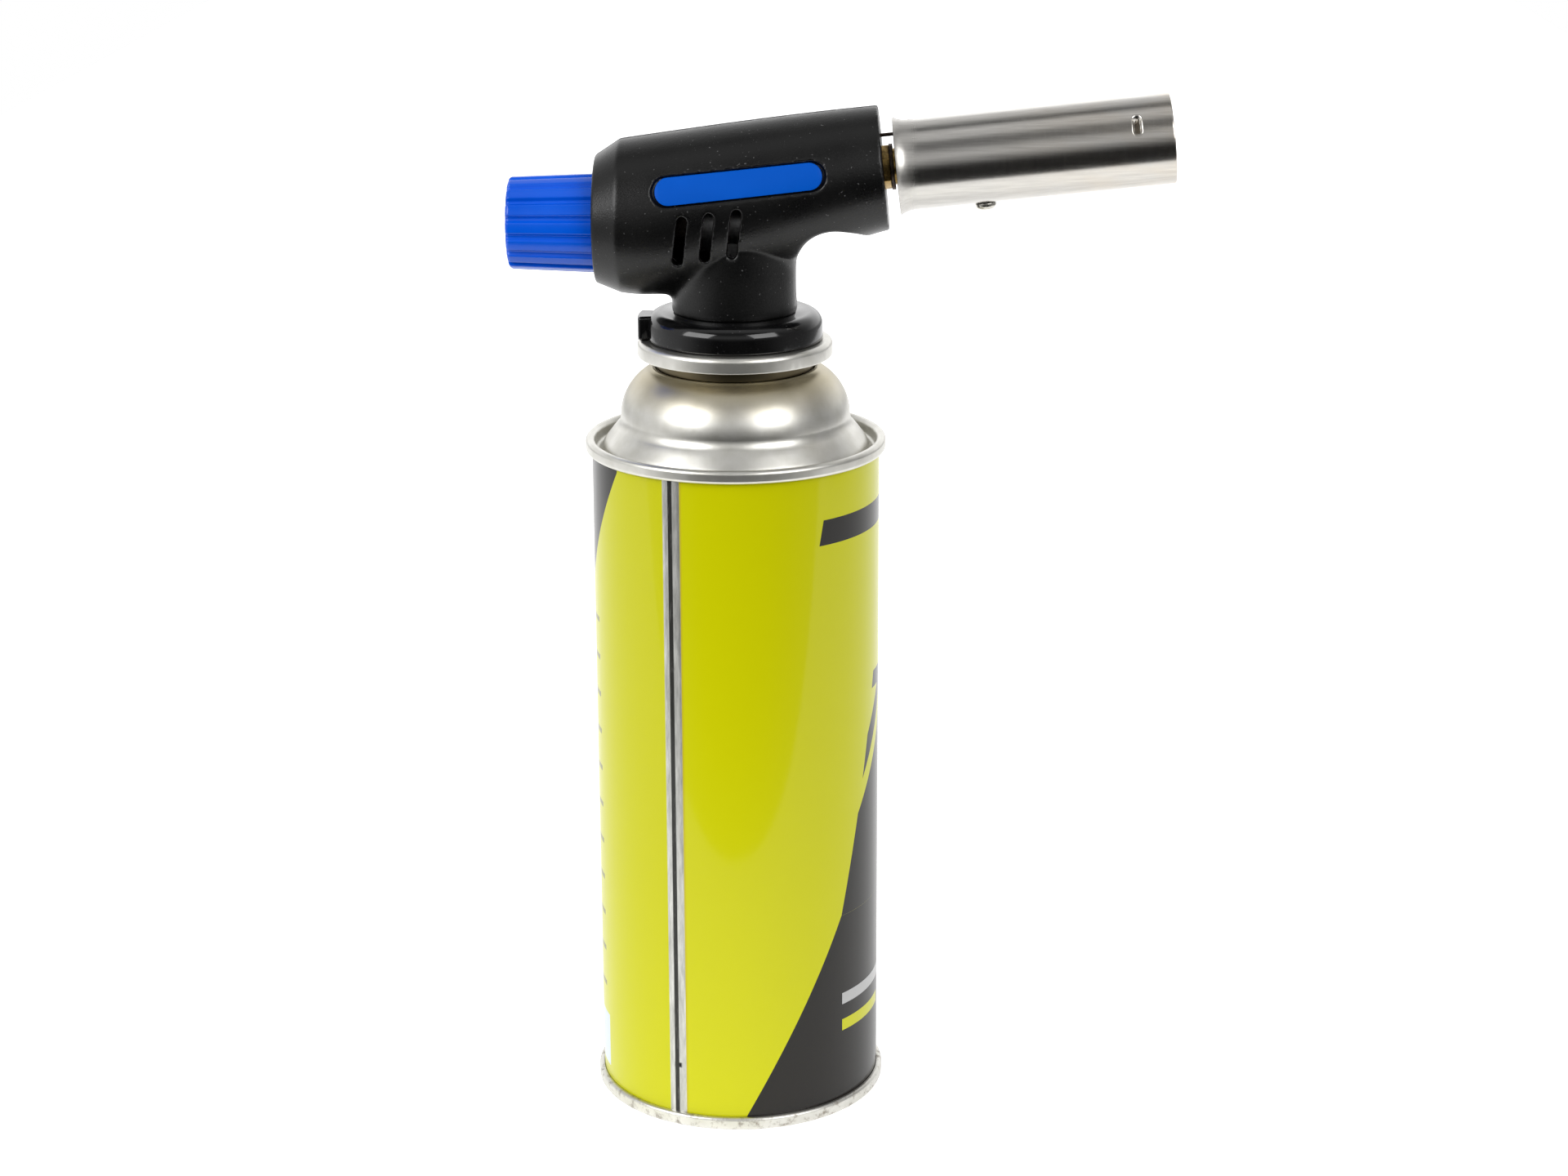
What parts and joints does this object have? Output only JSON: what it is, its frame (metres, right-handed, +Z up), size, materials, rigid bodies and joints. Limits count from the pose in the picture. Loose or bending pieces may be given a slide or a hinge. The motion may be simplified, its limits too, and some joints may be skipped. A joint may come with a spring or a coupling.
{
  "type": "gas torch",
  "caption": "Handheld piezo gas torch head locked on an upright butane cartridge, with a rear flow knob and a stainless flame tube.",
  "frame": {"origin": "on the cartridge's axis, at the standing ring of its bottom seam", "axes": "+Z up along the cartridge; +X the way the flame tube points, seen from above; +Y across the casing, away from the badge that faces the usual viewer"},
  "size_m": [0.1481, 0.0682, 0.2352],
  "materials": {
    "can_print": "gloss",
    "tinplate": "satin",
    "black_matte": "fine texture",
    "black_gloss": "gloss",
    "blue_plastic": "satin",
    "blue_badge": "satin",
    "stainless": "satin",
    "screw_steel": "nickel plated",
    "brass": "machined",
    "zinc": "as cast",
    "dark_steel": "oxidised",
    "spring_steel": "plain",
    "seal_rubber": "matte",
    "white_plastic": "natural",
    "filter_bronze": "sintered",
    "ceramic": "fired",
    "igniter_plastic": "satin",
    "lead_jacket": "silicone"
  },
  "bodies": {
    "cartridge": {"can_body": "can_print", "can_bottom": "tinplate", "can_dome": "tinplate", "valve_cup": "tinplate", "valve_collar": "tinplate", "stem_gasket": "seal_rubber", "valve_housing": "white_plastic", "stem_spring": "spring_steel", "vapour_tube": "white_plastic"},
    "can_stem": {"valve_stem": "spring_steel"},
    "head": {"casing_left": "black_matte", "casing_right": "black_matte", "casing_screws": "screw_steel", "badge_left": "blue_badge", "badge_right": "blue_badge", "lock_ring": "black_gloss", "valve_body": "zinc", "inlet_probe": "brass", "inlet_seal": "seal_rubber", "inlet_filter": "filter_bronze", "gland_nut": "dark_steel", "knob_spring": "spring_steel", "gas_jet": "brass", "burner_tube": "brass", "rear_disc": "dark_steel", "burner_head": "dark_steel", "flame_disc": "brass", "flame_tube": "stainless", "tube_screw": "screw_steel", "electrode_rod": "dark_steel", "electrode_insulator": "ceramic", "hv_lead": "lead_jacket", "piezo_housing": "igniter_plastic", "piezo_spring": "spring_steel", "piezo_anvil": "dark_steel", "piezo_element": "ceramic"},
    "spindle": {"valve_spindle": "spring_steel", "knob_screw": "screw_steel", "spindle_oring": "seal_rubber"},
    "knob": {"knob": "blue_plastic", "knob_cap": "blue_plastic"},
    "plunger": {"piezo_plunger": "igniter_plastic"},
    "hammer": {"piezo_hammer": "dark_steel"}
  },
  "joints": [
    {"name": "stem_press", "type": "slide", "parent": "cartridge", "child": "can_stem", "axis": [0, 0, -1], "range_m": [0, 0.0008], "stiffness_N_per_m": 2000, "springref_m": -0.0015, "deforming": ["stem_spring"]},
    {"name": "head_turn", "type": "hinge", "parent": "cartridge", "child": "head", "pos_m": [0, 0, 0.18], "axis": [0, 0, 1], "range_deg": [0, 35]},
    {"name": "valve_turn", "type": "hinge", "parent": "head", "child": "spindle", "pos_m": [0, 0, 0.206], "axis": [-1, 0, 0], "range_deg": [0, 540]},
    {"name": "knob_push", "type": "slide", "parent": "spindle", "child": "knob", "axis": [1, 0, 0], "range_m": [0, 0.0055], "stiffness_N_per_m": 600, "springref_m": -0.003, "deforming": ["knob_spring"]},
    {"name": "plunger_slide", "type": "slide", "parent": "head", "child": "plunger", "axis": [1, 0, 0], "range_m": [0, 0.0055], "deforming": ["piezo_spring"]},
    {"name": "hammer_strike", "type": "slide", "parent": "head", "child": "hammer", "axis": [1, 0, 0], "range_m": [0, 0.0015], "stiffness_N_per_m": 300, "springref_m": -0.001}
  ],
  "couplings": [
    {"joint": "plunger_slide", "follows": "knob_push", "ratio": 1}
  ]
}
